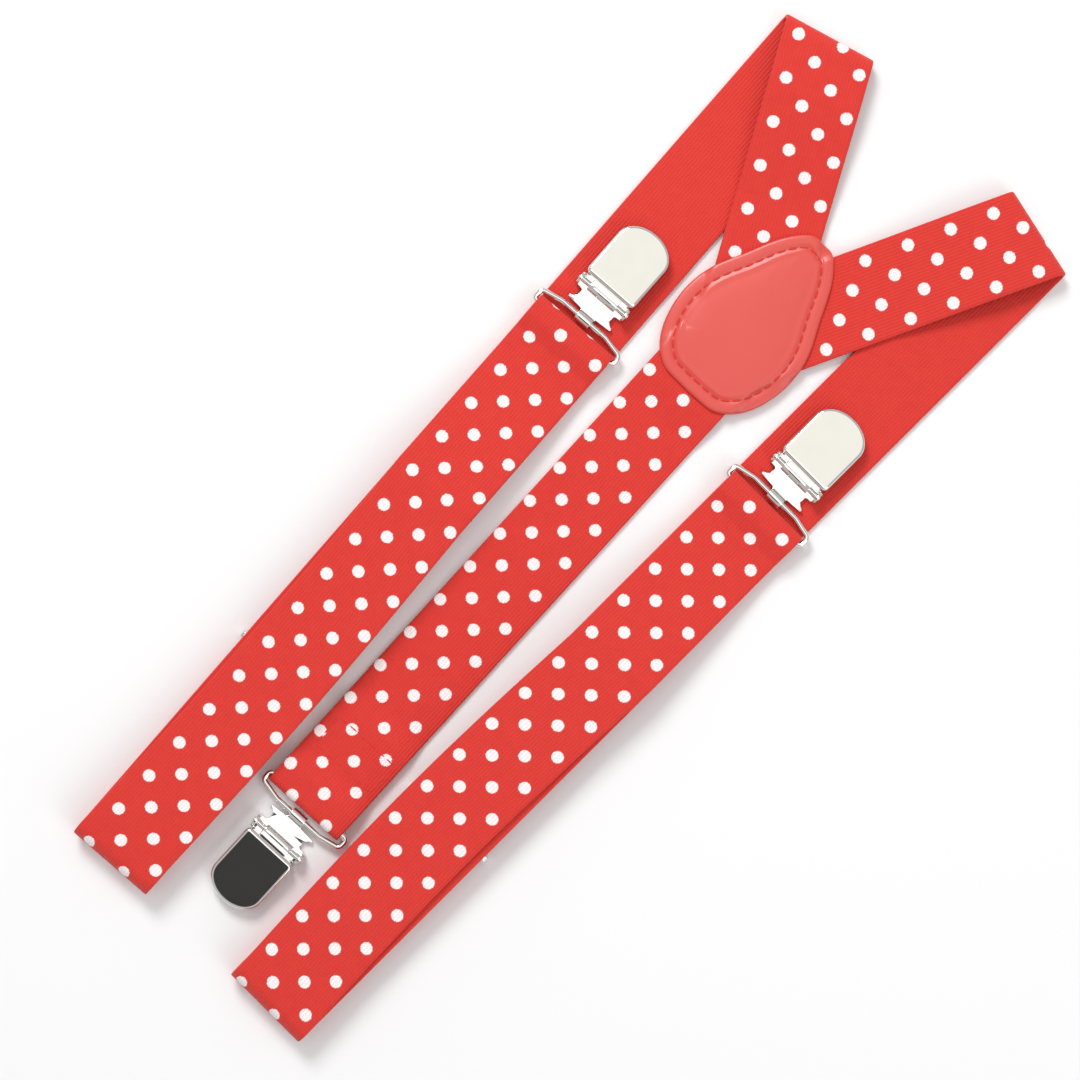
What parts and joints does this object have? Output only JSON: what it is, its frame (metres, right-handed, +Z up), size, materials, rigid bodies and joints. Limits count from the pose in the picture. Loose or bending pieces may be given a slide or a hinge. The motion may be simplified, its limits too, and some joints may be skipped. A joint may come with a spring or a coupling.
{
  "type": "suspenders",
  "caption": "Y-back clip-on elastic suspenders with polka-dot webbing, a teardrop back patch, metal trouser clips and slide adjusters, lying folded flat.",
  "frame": {"origin": "middle of the underside of the folded suspenders, at the middle of their bounding box in plan", "axes": "+Z up off the table; +Y from the bottom folds to the top folds, along the length; +X across, towards the right-hand strap"},
  "size_m": [0.1, 0.2898, 0.0081],
  "materials": {
    "webbing": "woven elastic, red with white dots",
    "vinyl": "smooth satin",
    "thread": "matte twisted thread",
    "nickel": "polished plating",
    "plastic": "matte moulded"
  },
  "bodies": {
    "webbing": {"left_strap": "webbing", "right_strap": "webbing", "back_strap": "webbing", "patch_back": "vinyl", "patch_front": "vinyl", "patch_seam": "thread"},
    "back_end": {"back_strap_end": "webbing", "back_seam": "thread"},
    "left_adjuster": {"left_adjuster": "nickel", "left_strap_end": "webbing", "left_end_seam": "thread"},
    "left_loop": {"left_wire_loop": "nickel"},
    "left_clip": {"left_clip_plate": "nickel", "left_hinge_pin": "nickel"},
    "left_lever": {"left_lever_cover": "nickel", "left_grip_pad": "plastic"},
    "right_adjuster": {"right_adjuster": "nickel", "right_strap_end": "webbing", "right_end_seam": "thread"},
    "right_loop": {"right_wire_loop": "nickel"},
    "right_clip": {"right_clip_plate": "nickel", "right_hinge_pin": "nickel"},
    "right_lever": {"right_lever_cover": "nickel", "right_grip_pad": "plastic"},
    "back_loop": {"back_wire_loop": "nickel"},
    "back_clip": {"back_clip_plate": "nickel", "back_hinge_pin": "nickel"},
    "back_lever": {"back_lever_cover": "nickel", "back_grip_pad": "plastic"}
  },
  "joints": [
    {"name": "back_stretch", "type": "slide", "parent": "webbing", "child": "back_end", "axis": [0.0122, -0.9999, 0], "range_m": [0, 0.04], "stiffness_N_per_m": 400, "deforming": ["back_strap"]},
    {"name": "left_adjuster_slide", "type": "slide", "parent": "webbing", "child": "left_adjuster", "axis": [-0.0349, 0.9994, 0], "range_m": [0, 0.04], "deforming": ["left_strap"]},
    {"name": "left_loop_hinge", "type": "hinge", "parent": "webbing", "child": "left_loop", "pos_m": [-0.03408, 0.03956, 0.0032], "axis": [0.9994, 0.0349, 0], "range_deg": [0, 45]},
    {"name": "left_clip_hinge", "type": "hinge", "parent": "left_loop", "child": "left_clip", "pos_m": [-0.03424, 0.04386, 0.0032], "axis": [0.9994, 0.0349, 0], "range_deg": [0, 45]},
    {"name": "left_lever_hinge", "type": "hinge", "parent": "left_clip", "child": "left_lever", "pos_m": [-0.03451, 0.05165, 0.004], "axis": [0.9994, 0.0349, 0], "range_deg": [0, 90]},
    {"name": "right_adjuster_slide", "type": "slide", "parent": "webbing", "child": "right_adjuster", "axis": [0.0349, 0.9994, 0], "range_m": [0, 0.04], "deforming": ["right_strap"]},
    {"name": "right_loop_hinge", "type": "hinge", "parent": "webbing", "child": "right_loop", "pos_m": [0.03408, 0.03956, 0.0032], "axis": [0.9994, -0.0349, 0], "range_deg": [0, 45]},
    {"name": "right_clip_hinge", "type": "hinge", "parent": "right_loop", "child": "right_clip", "pos_m": [0.03424, 0.04386, 0.0032], "axis": [0.9994, -0.0349, 0], "range_deg": [0, 45]},
    {"name": "right_lever_hinge", "type": "hinge", "parent": "right_clip", "child": "right_lever", "pos_m": [0.03451, 0.05165, 0.004], "axis": [0.9994, -0.0349, 0], "range_deg": [0, 90]},
    {"name": "back_loop_hinge", "type": "hinge", "parent": "back_end", "child": "back_loop", "pos_m": [0, -0.09813, 0.002], "axis": [-0.9999, -0.0122, 0], "range_deg": [0, 45]},
    {"name": "back_clip_hinge", "type": "hinge", "parent": "back_loop", "child": "back_clip", "pos_m": [0.00005, -0.10243, 0.002], "axis": [-0.9999, -0.0122, 0], "range_deg": [0, 45]},
    {"name": "back_lever_hinge", "type": "hinge", "parent": "back_clip", "child": "back_lever", "pos_m": [0.00015, -0.11023, 0.0028], "axis": [-0.9999, -0.0122, 0], "range_deg": [0, 90]}
  ]
}
